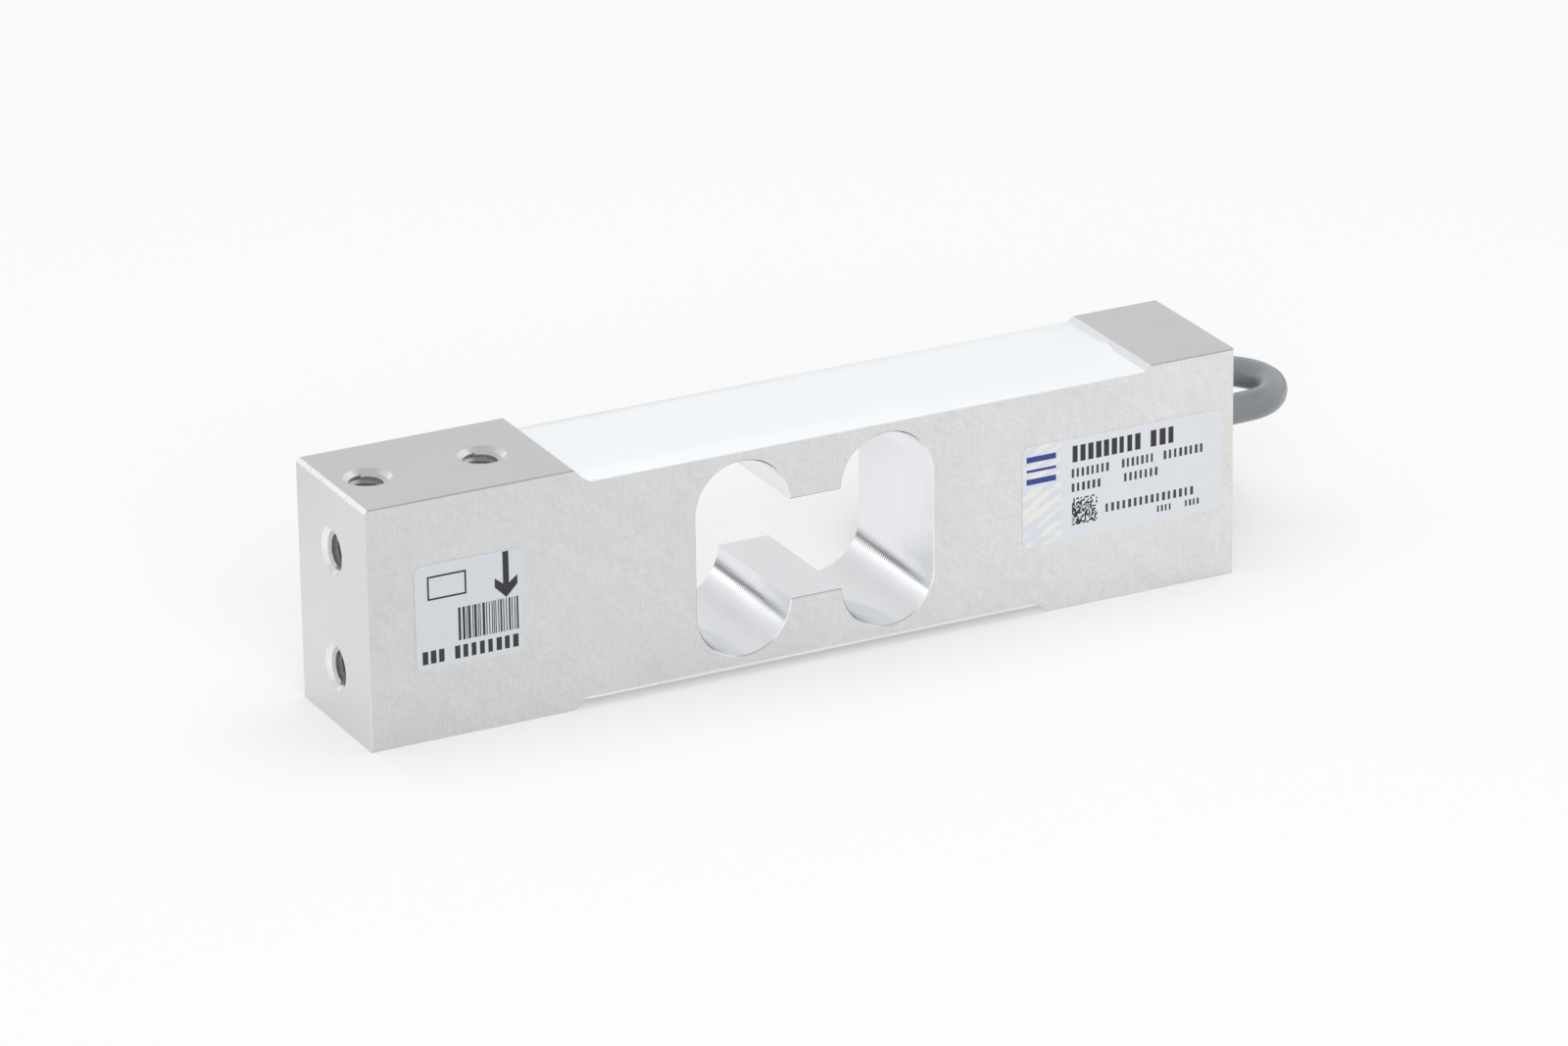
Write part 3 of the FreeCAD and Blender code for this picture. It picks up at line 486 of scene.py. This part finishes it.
def loop_points(side, first, last, count, z):
    """Points round one end loop of the hank, between two angles in degrees."""
    points = []
    for i in range(count):
        angle = math.radians(first + (last - first) * i / (count - 1))
        x = HANK_X + side * LOOP_OFFSET + LOOP_RADIUS * math.cos(angle)
        points.append((x, HANK_Y + LOOP_RADIUS * math.sin(angle), z))
    return points


def waist_points(way, side, level, rise):
    """Four points along one side of the waist; the cable climbs by a share of a layer."""
    across, out = SHOULDER
    points = []
    for i, along in enumerate((-across, -across / 3, across / 3, across)):
        climbed = level + rise * (0.2 + 0.2 * i)
        tied = i in (1, 2)
        y = WAIST if tied else out
        z = TIED_GAP + TIED_LAYER * climbed if tied else \
            (TIED_GAP + FLOOR_GAP) / 2 + (TIED_LAYER + LAYER) / 2 * climbed
        points.append((HANK_X + way * along, HANK_Y + side * y, z))
    return points


def hank_points():
    """Turns of two round loops drawn together at the waist, each lying on the last."""
    points = []
    for turn in range(TURNS):
        z = FLOOR_GAP + LAYER * turn
        points += loop_points(-1, -70 if turn else -86, -290, 7, z)
        points += waist_points(1, 1, turn, 0)
        if turn < TURNS - 1:
            points += loop_points(1, 110, -110, 7, z)
            points += waist_points(-1, -1, turn, 1)
    return points + loop_points(1, 110, -20, 5, z)


def cable_curve():
    curve = round_curve("signal_cable", CABLE / 2, 10, 6, [cable_jacket])
    soft_spline(curve, [Vector(p) * MM for p in LEAD + hank_points() + TAIL])
    cable = link("signal_cable", curve)
    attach(cable, "root")
    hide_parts("cable_lead", "cable_hank", "cable_tail")
    return cable


cable = cable_curve()

# ---- bar and potting ---------------------------------------------------------------------
bar = mesh_piece("milled_bar", node_bmesh("spring_body"), aluminium, 28)
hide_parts("spring_body")
for node in ("top_potting", "base_potting"):
    fill = mesh_piece(node + "_fill", node_bmesh(node), potting, 40)
    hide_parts(node)

# ---- threads -----------------------------------------------------------------------------
THREAD_RADIUS = 3.0 * MM
THREAD_PITCH = 1.0 * MM
THREAD_DEPTH = 0.55 * MM
SINK = 0.8 * MM              # depth of a countersink
STEPS = 32                   # round one turn


def thread_ridge(bm, mouth, inward, depth):
    """The helical ridge of one M6 thread, from its countersink down the hole."""
    foot = THREAD_RADIUS + 0.03 * MM
    crest = THREAD_RADIUS - THREAD_DEPTH
    half_foot, half_crest = THREAD_PITCH * 0.45, THREAD_PITCH * 0.08
    start = SINK + half_crest
    profile = [(foot, -half_foot), (crest, -half_crest), (crest, half_crest), (foot, half_foot)]
    part = bmesh.new()
    ring = [part.verts.new((r, 0, start + h)) for r, h in profile]
    face = part.faces.new(ring)
    turns = (depth - start) / THREAD_PITCH
    steps = round(turns * STEPS)
    bmesh.ops.spin(part, geom=[face] + face.edges[:] + ring, cent=(0, 0, 0), axis=(0, 0, 1),
                   dvec=(0, 0, THREAD_PITCH / STEPS), angle=2 * math.pi * steps / STEPS, steps=steps,
                   use_merge=False, use_duplicate=False)
    bmesh.ops.remove_doubles(part, verts=part.verts, dist=1e-7)
    bmesh.ops.recalc_face_normals(part, faces=part.faces)
    turn = Vector((0, 0, 1)).rotation_difference(inward).to_matrix().to_4x4()
    bmesh.ops.transform(part, matrix=Matrix.Translation(mouth) @ turn, verts=part.verts)
    mesh = bpy.data.meshes.new("thread")
    part.to_mesh(mesh)
    part.free()
    bm.from_mesh(mesh)
    bpy.data.meshes.remove(mesh)


def thread_set(name, mount, depth):
    """Ridges of one pair of holes, placed from the record's bolt pattern."""
    centre, outward = Vector(mount["pos_m"]), Vector(mount["axis"])
    spacing = mount["dims"].get("spacing_x_mm") or mount["dims"].get("spacing_y_mm")
    along = Vector((0, 0, 1)) if abs(outward.x) > 0.5 else Vector((1, 0, 0))
    bm = bmesh.new()
    for side in (-0.5, 0.5):
        mouth = centre + outward * SINK + along * (side * spacing * MM)
        thread_ridge(bm, mouth, -outward, depth)
    mesh_piece(name, bm, thread_metal, 35)


mounts = {m["name"]: m for m in frame["record"]["mounts"]}
for name, mount, depth in (("load_pad_threads", "load_pad_holes", 6.0 * MM),
                           ("load_end_threads", "load_end_holes", 9.0 * MM),
                           ("fixed_base_threads", "fixed_base_holes", 6.0 * MM)):
    thread_set(name, mounts[mount], depth)

# ---- label print -------------------------------------------------------------------------
INK_RISE = 0.012 * MM
label_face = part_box("load_label")[0].y


def flat_shape(bm, outline):
    """A thin raised shape on the labels' face; the outline is in mm from the load end and base."""
    verts = [bm.verts.new((LOAD_END + x * MM, label_face, z * MM)) for x, z in outline]
    face = bm.faces.new(verts)
    result = bmesh.ops.extrude_face_region(bm, geom=[face])
    moved = [v for v in result["geom"] if isinstance(v, bmesh.types.BMVert)]
    bmesh.ops.translate(bm, vec=(0, -INK_RISE, 0), verts=moved)


def box_shape(bm, x0, x1, z0, z1):
    """An upright rectangle of print."""
    flat_shape(bm, [(x0, z0), (x1, z0), (x1, z1), (x0, z1)])


def print_piece(name, bm, material):
    bmesh.ops.recalc_face_normals(bm, faces=bm.faces)
    mesh_piece(name, bm, material)


def word_row(bm, words, z0, height, pitch, fill, rng):
    """Rows of plain upright blocks in place of words."""
    for x0, x1 in words:
        count = max(1, round((x1 - x0) / pitch))
        step = (x1 - x0) / count
        for i in range(count):
            width = step * fill * rng.uniform(0.85, 1.1)
            box_shape(bm, x0 + i * step, x0 + i * step + width, z0, z0 + height)


def load_label_print():
    rng = random.Random(11)
    bm = bmesh.new()
    # arrow that points the way the load acts
    flat_shape(bm, [(22.5, 28.6), (22.5, 23.4), (21.1, 24.5), (21.1, 23.0), (23.0, 21.1),
                    (24.9, 23.0), (24.9, 24.5), (23.5, 23.4), (23.5, 28.6)])
    # upright bars of made-up widths
    x = 14.9
    while x < 24.9:
        width = rng.choice((0.16, 0.16, 0.3, 0.42))
        box_shape(bm, x, min(x + width, 25.0), 15.6, 20.95)
        x += width + rng.choice((0.14, 0.2, 0.3))
    # bare box for a stamp
    for x0, x1, z0, z1 in ((9.9, 16.4, 26.6, 26.9), (9.9, 16.4, 23.0, 23.3),
                           (9.9, 10.2, 23.3, 26.6), (16.1, 16.4, 23.3, 26.6)):
        box_shape(bm, x0, x1, z0, z1)
    word_row(bm, [(8.8, 12.9), (14.2, 25.3)], 12.7, 2.1, 1.36, 0.62, rng)
    print_piece("load_label_print", bm, black_ink)


def rating_label_print():
    rng = random.Random(5)
    bold = bmesh.new()
    word_row(bold, [(120.9, 133.5), (134.9, 139.7)], 24.4, 2.75, 1.42, 0.64, rng)
    # small square field of dark and light cells, by a rule
    cells, side, x0, z0 = 18, 0.25, 120.8, 13.85
    for i in range(cells):
        for j in range(cells):
            if (math.sin(12.9 * i + 78.2 * j) * 437.5) % 1 < 0.48:
                box_shape(bold, x0 + i * side, x0 + (i + 1) * side, z0 + j * side, z0 + (j + 1) * side)
    print_piece("rating_label_print", bold, black_ink)
    small = bmesh.new()
    word_row(small, [(120.75, 127.8), (129.75, 135.8), (137.25, 144.75)], 21.85, 1.45, 0.9, 0.5, rng)
    word_row(small, [(120.75, 126.3), (130.15, 136.6)], 19.45, 1.4, 0.9, 0.5, rng)
    word_row(small, [(126.8, 143.1)], 14.95, 1.4, 1.0, 0.5, rng)
    word_row(small, [(136.1, 138.95), (141.15, 144.0)], 13.15, 1.05, 0.78, 0.5, rng)
    print_piece("rating_label_lines", small, grey_ink)
    blue = bmesh.new()
    for z0, z1 in ((25.75, 26.7), (24.1, 24.55), (22.05, 23.0)):
        box_shape(blue, 112.7, 117.95, z0, z1)
    print_piece("rating_label_bars", blue, blue_ink)


load_label_print()
rating_label_print()

# ---- finishes of the solids that stay ----------------------------------------------------
dress("load_label", load_film())
dress("rating_label", rating_film())
dress("cable_entry", cable_jacket)
dress("cable_seal", speckled("sealant", (0.04, 0.04, 0.045), (0.06, 0.06, 0.065), 0.45))
film = speckled("gauge_film", (0.6, 0.36, 0.1), (0.72, 0.47, 0.16), 0.4)
for name in ("gauge_top_load", "gauge_top_fixed", "gauge_base_load", "gauge_base_fixed"):
    dress(name, film)
board = speckled("board_mask", (0.03, 0.16, 0.06), (0.05, 0.22, 0.09), 0.35)
dress("terminal_board", board)
dress("base_board", board)
dress("balance_resistors", speckled("chip_ceramic", (0.02, 0.02, 0.022), (0.04, 0.04, 0.045), 0.5))
dress("compensation_foil", speckled("nickel_foil", (0.5, 0.48, 0.42), (0.62, 0.6, 0.54), 0.3, metallic=1.0))
copper = speckled("copper_wire", (0.6, 0.25, 0.12), (0.72, 0.33, 0.17), 0.3, metallic=1.0)
for name in ("gauge_leads_top", "gauge_leads_base", "link_wires"):
    dress(name, copper)
CORE_COLOURS = {"red": (0.5, 0.03, 0.02), "black": (0.015, 0.015, 0.016),
                "green": (0.02, 0.22, 0.06), "white": (0.78, 0.78, 0.75)}
cores = {}
for name, colour in CORE_COLOURS.items():
    cores[name] = speckled("core_" + name, darker(colour), colour, 0.4, 800.0)
    dress("core_" + name, cores[name])


# ---- tie and free end --------------------------------------------------------------------
TIE_WIDTH, TIE_DEPTH = 3.6 * MM, 1.1 * MM
TIE_CORNER = 2.4 * MM        # outer radius of the band's corners
TIE_SOFTENED = 0.25 * MM     # strip along each edge that leans over
TOOTH_PITCH = 0.72 * MM
HEAD_WIDTH, HEAD_DEPTH, HEAD_HEIGHT = 5.2 * MM, 3.4 * MM, 4.6 * MM
HEAD_DROP = 2.0 * MM         # head below the band's upper run
CHEEK = 0.7 * MM             # side walls of the head
CORE_RADIUS, SHIELD_RADIUS = 0.55 * MM, 0.5 * MM
CORE_SPACING = 0.95 * MM     # between two wires where they leave the sleeve
CORE_FAN = 6                 # degrees between two wires
WIRES_START = 6.0 * MM       # inside the sleeve
STRANDS, STRAND_RADIUS = 6, 0.1 * MM
HANK_TOP_Z = 15.3 * MM       # where the wires come to rest
tie_lo, tie_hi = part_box("hank_tie")


def rounded_ring(y0, y1, z0, z1, radius, steps=6):
    """Points of a rounded rectangle in the plane across the hank."""
    points = []
    corners = ((y1 - radius, z1 - radius, 0), (y0 + radius, z1 - radius, 90),
               (y0 + radius, z0 + radius, 180), (y1 - radius, z0 + radius, 270))
    for y, z, start in corners:
        for i in range(steps + 1):
            angle = math.radians(start + 90 * i / steps)
            points.append((y + radius * math.cos(angle), z + radius * math.sin(angle)))
    return points


def bevelled_box(bm, lo, hi, width=0.15 * MM):
    """Adds a box with small rounded edges."""
    made = bmesh.ops.create_cube(bm, size=1.0)["verts"]
    size = Vector(hi) - Vector(lo)
    bmesh.ops.transform(bm, verts=made, matrix=Matrix.Translation((Vector(lo) + Vector(hi)) / 2)
                        @ Matrix.Diagonal((*size, 1)))
    edges = {e for v in made for e in v.link_edges}
    bmesh.ops.bevel(bm, geom=list(edges), offset=width, offset_type="OFFSET", affect="EDGES",
                    segments=2, profile=0.5, material=-1)


def tie_band(bm, middle_x, y0, y1, z0, z1):
    """The band round the waist: a flat strip with softened edges."""
    outer = rounded_ring(y0, y1, z0, z1, TIE_CORNER)
    inner = rounded_ring(y0 + TIE_DEPTH, y1 - TIE_DEPTH, z0 + TIE_DEPTH, z1 - TIE_DEPTH,
                         TIE_CORNER - TIE_DEPTH)
    half = TIE_WIDTH / 2
    flat = half - TIE_SOFTENED
    lines = []
    for ring, x in ((inner, -flat), (inner, flat), (outer, flat), (outer, -flat)):
        lines.append([bm.verts.new((middle_x + x, y, z)) for y, z in ring])
    mid_ring = [((a[0] + b[0]) / 2, (a[1] + b[1]) / 2) for a, b in zip(inner, outer)]
    right = [bm.verts.new((middle_x + half, y, z)) for y, z in mid_ring]
    left = [bm.verts.new((middle_x - half, y, z)) for y, z in mid_ring]
    section = [lines[0], lines[1], right, lines[2], lines[3], left]
    count = len(outer)
    for a, b in zip(section, section[1:] + section[:1]):
        for i in range(count):
            j = (i + 1) % count
            bm.faces.new((a[i], a[j], b[j], b[i]))


def tie_head(bm, middle_x, back, slot_y, top):
    """Four walls round the slot that the band's tail comes out of."""
    half, foot = HEAD_WIDTH / 2, top - HEAD_HEIGHT
    bevelled_box(bm, (middle_x - half, back - 0.05 * MM, foot), (middle_x + half, slot_y, top))
    bevelled_box(bm, (middle_x - half, slot_y + 1.3 * MM, foot), (middle_x + half, back + HEAD_DEPTH, top))
    for side in (-1, 1):
        x = middle_x + side * (half - CHEEK / 2)
        bevelled_box(bm, (x - CHEEK / 2, slot_y - 0.1 * MM, foot),
                     (x + CHEEK / 2, slot_y + 1.4 * MM, top))


def tie_tail(bm, middle_x, tail_y, top):
    """The trimmed end of the band in the head's slot, with its teeth."""
    half = TIE_WIDTH / 2
    bevelled_box(bm, (middle_x - half, tail_y, top - HEAD_HEIGHT + 0.3 * MM),
                 (middle_x + half, tail_y + TIE_DEPTH, top + 1.9 * MM), 0.1 * MM)
    for i in range(2):
        z = top + 0.35 * MM + i * TOOTH_PITCH
        bevelled_box(bm, (middle_x - 1.2 * MM, tail_y - 0.16 * MM, z),
                     (middle_x + 1.2 * MM, tail_y + 0.1 * MM, z + 0.4 * MM), 0.05 * MM)


def cable_tie(middle_x):
    """Nylon tie: a band round the waist, its head with the pawl slot, and the trimmed tail."""
    bm = bmesh.new()
    back = tie_hi.y - HEAD_DEPTH
    tie_band(bm, middle_x, tie_lo.y, back, tie_lo.z, tie_hi.z)
    top = tie_hi.z - TIE_DEPTH - HEAD_DROP
    slot_y = back + 0.9 * MM
    tie_head(bm, middle_x, back, slot_y, top)
    tie_tail(bm, middle_x, slot_y + 0.1 * MM, top)
    bmesh.ops.recalc_face_normals(bm, faces=bm.faces)
    return mesh_piece("cable_tie", bm, tie_nylon, 35)


def shrink_sleeve(start, along):
    """Heat-shrink that hugs the jacket, drawn in at both ends."""
    profile = [(2.62, 0.0), (2.9, 0.35), (2.95, 0.9), (2.9, 3.2),
               (2.94, 5.2), (2.78, 6.2), (2.3, 6.5), (0.0, 6.5)]
    bm = bmesh.new()
    chain = [bm.verts.new((r * MM, 0, h * MM)) for r, h in profile]
    edges = [bm.edges.new(pair) for pair in zip(chain, chain[1:])]
    bmesh.ops.spin(bm, geom=edges + chain, cent=(0, 0, 0), axis=(0, 0, 1), dvec=(0, 0, 0),
                   angle=2 * math.pi, steps=32, use_merge=True, use_duplicate=False)
    bmesh.ops.remove_doubles(bm, verts=bm.verts, dist=1e-7)
    bmesh.ops.recalc_face_normals(bm, faces=bm.faces)
    turn = Vector((0, 0, 1)).rotation_difference(along).to_matrix().to_4x4()
    bmesh.ops.transform(bm, matrix=Matrix.Translation(start) @ turn, verts=bm.verts)
    return mesh_piece("shrink_sleeve", bm, shrink, 40)


def free_wire(name, row, radius, cover, rng):
    """A wire of the free end: it droops from the sleeve onto the hank and ends in bare strands."""
    side = Vector((0, 0, 1)).cross(end_along)
    lift = (0.6 if row % 2 else -0.6) * MM
    centre = row - 2
    start = end_place + end_along * WIRES_START + side * (centre * CORE_SPACING) + Vector((0, 0, lift))
    way = Matrix.Rotation(math.radians(centre * CORE_FAN + rng.uniform(-2, 2)), 3, "Z") @ end_along
    way.z = 0
    way.normalize()
    drop = HANK_TOP_Z + radius - start.z
    points = []
    for out, fall in ((0.0, 0.0), (2.5, 0.1), (5.0, 0.4), (7.5, 0.8), (10.0, 1.0), (12.0, 1.0)):
        points.append(start + way * out * MM + Vector((0, 0, drop * fall)))
    curve = round_curve(name, radius, 6, 4, [cover, tinned])
    soft_spline(curve, points[:5])
    for k in range(STRANDS):
        angle = 2 * math.pi * k / STRANDS
        strand = []
        for i in range(6):
            turned = angle + 0.5 * i
            spread = 0.17 * MM * (1 + 0.05 * i)
            off = side * (math.cos(turned) * spread) + Vector((0, 0, math.sin(turned) * spread))
            strand.append(points[4] + way * ((i - 0.5) * 0.62 * MM) + off)
        soft_spline(curve, strand, STRAND_RADIUS / radius, 1)
    wire = link(name, curve)
    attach(wire, "root")
    return wire


shrink = speckled("heat_shrink", (0.018, 0.018, 0.02), (0.03, 0.03, 0.033), 0.45)
tinned = speckled("tinned_wire", (0.62, 0.63, 0.64), (0.74, 0.75, 0.76), 0.25, metallic=1.0)
tie_nylon = speckled("tie_nylon", (0.74, 0.74, 0.7), (0.82, 0.82, 0.78), 0.35)
end_place = Vector(TAIL[-1]) * MM
end_along = (Vector(TAIL[-1]) - Vector(TAIL[-2])).normalized()

tie = cable_tie(HANK_X * MM)
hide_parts("hank_tie")
sleeve = shrink_sleeve(end_place, end_along)
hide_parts("end_sleeve")
rng = random.Random(3)
for row, name in enumerate(CORE_COLOURS):
    wire = free_wire("free_core_" + name, row, CORE_RADIUS, cores[name], rng)
    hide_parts("end_core_" + name)
shield = free_wire("bare_shield", len(CORE_COLOURS), SHIELD_RADIUS, tinned, rng)
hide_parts("end_shield")


# ---- floor, light and background ---------------------------------------------------------
FLOOR_GLOW = 0.378
FAR_GLOW = FLOOR_GLOW + 0.022
SKY_FOR_SURFACES = 0.52      # what matt surfaces gather


def white_floor():
    """A pale floor, white to the camera, that keeps the part's soft shadow. For glossy rays it is a painted
    reflection: the bright metal sees it white close by, with a painted dark patch well behind the part."""
    bm = bmesh.new()
    bmesh.ops.create_circle(bm, cap_ends=True, cap_tris=False, segments=96, radius=4.0)
    mesh = bpy.data.meshes.new("studio_floor")
    bm.to_mesh(mesh)
    bm.free()
    floor = link("studio_floor", mesh)
    s = Shader("studio_floor")
    mesh.materials.append(s.material)
    s.set(Roughness=1.0, Specular_IOR_Level=0.0)
    path = s.tree.nodes.new("ShaderNodeLightPath")
    x, y, _ = s.axes()
    # the cut-out's curved walls look this way, the end face looks further to the left
    way = s.math("ADD", x, s.math("MULTIPLY", y, 0.5))
    mirrored = path.outputs["Is Glossy Ray"]
    # painted reflection: glossy rays see a dark patch of floor well behind the part and a white glow close
    # by
    painted_dark_reflection = s.product(s.ramp(y, 0.05, 0.16), s.ramp(way, -0.062, -0.04), mirrored)
    near_glow = s.product(s.math("SUBTRACT", 1.0, painted_dark_reflection), FLOOR_GLOW)
    straight = s.math("MAXIMUM", path.outputs["Is Camera Ray"], path.outputs["Is Transmission Ray"])
    seen_glow = s.product(straight, s.ramp(y, 0.0, 0.9, FLOOR_GLOW, FAR_GLOW))
    s.set(Base_Color=s.blend(painted_dark_reflection, (0.6, 0.6, 0.6), (0.27, 0.27, 0.28)), Emission_Color=(1, 1, 1, 1),
          Emission_Strength=s.math("MAXIMUM", seen_glow, s.product(mirrored, near_glow)))


def world_light():
    """White straight on; for polished metal a room with a dark horizon and a low bright strip."""
    world = bpy.data.worlds.new("studio")
    bpy.context.scene.world = world
    world.use_nodes = True
    w = Nodes(world.node_tree)
    background = w.tree.nodes["Background"]
    background.inputs["Color"].default_value = (1, 1, 1, 1)
    path = w.tree.nodes.new("ShaderNodeLightPath").outputs
    split = w.tree.nodes.new("ShaderNodeSeparateXYZ")
    w.put(split.inputs[0], w.tree.nodes.new("ShaderNodeTexCoord").outputs["Generated"])
    across, back, up = split.outputs
    left = w.ramp(across, -0.2, 0.1, 1.0, 0.0)
    behind = w.ramp(back, 0.1, 0.4)
    strip = w.ramp(up, 0.08, 0.13, 0.22, 1.25)
    strip = w.ramp(up, 0.2, 0.28, strip, 0.88)
    strip = w.ramp(up, 0.3, 0.52, strip, 0.7)
    right_sky = w.ramp(up, 0.0, 0.35, 0.9, 0.77)
    around = w.mix(behind, 0.9, w.mix(left, right_sky, strip))
    glossy = w.mix(w.ramp(up, 0.68, 0.8), around, 0.5)
    matt = w.mix(path["Is Glossy Ray"], SKY_FOR_SURFACES, glossy)
    straight = w.math("MAXIMUM", path["Is Camera Ray"], path["Is Transmission Ray"])
    w.put(background.inputs["Strength"], w.mix(straight, matt, 1.0))


def softbox(name, place, aim, size, power):
    """A large soft lamp that the polished metal doesn't mirror."""
    data = bpy.data.lights.new(name, "AREA")
    data.shape = "RECTANGLE"
    data.size, data.size_y = size
    data.energy = power
    lamp = link(name, data)
    lamp.location = place
    lamp.rotation_mode = "QUATERNION"
    lamp.rotation_quaternion = (Vector(aim) - Vector(place)).to_track_quat("-Z", "Y")
    lamp.visible_glossy = False


white_floor()
world_light()
softbox("overhead_softbox", (0.1, 0.2, 1.4), (0, 0, 0), (1.6, 1.2), 8.0)
softbox("front_softbox", (-0.5, -1.5, 0.9), (0, 0, 0.02), (1.4, 1.0), 13.0)

bpy.context.scene.view_settings.view_transform = "Standard"
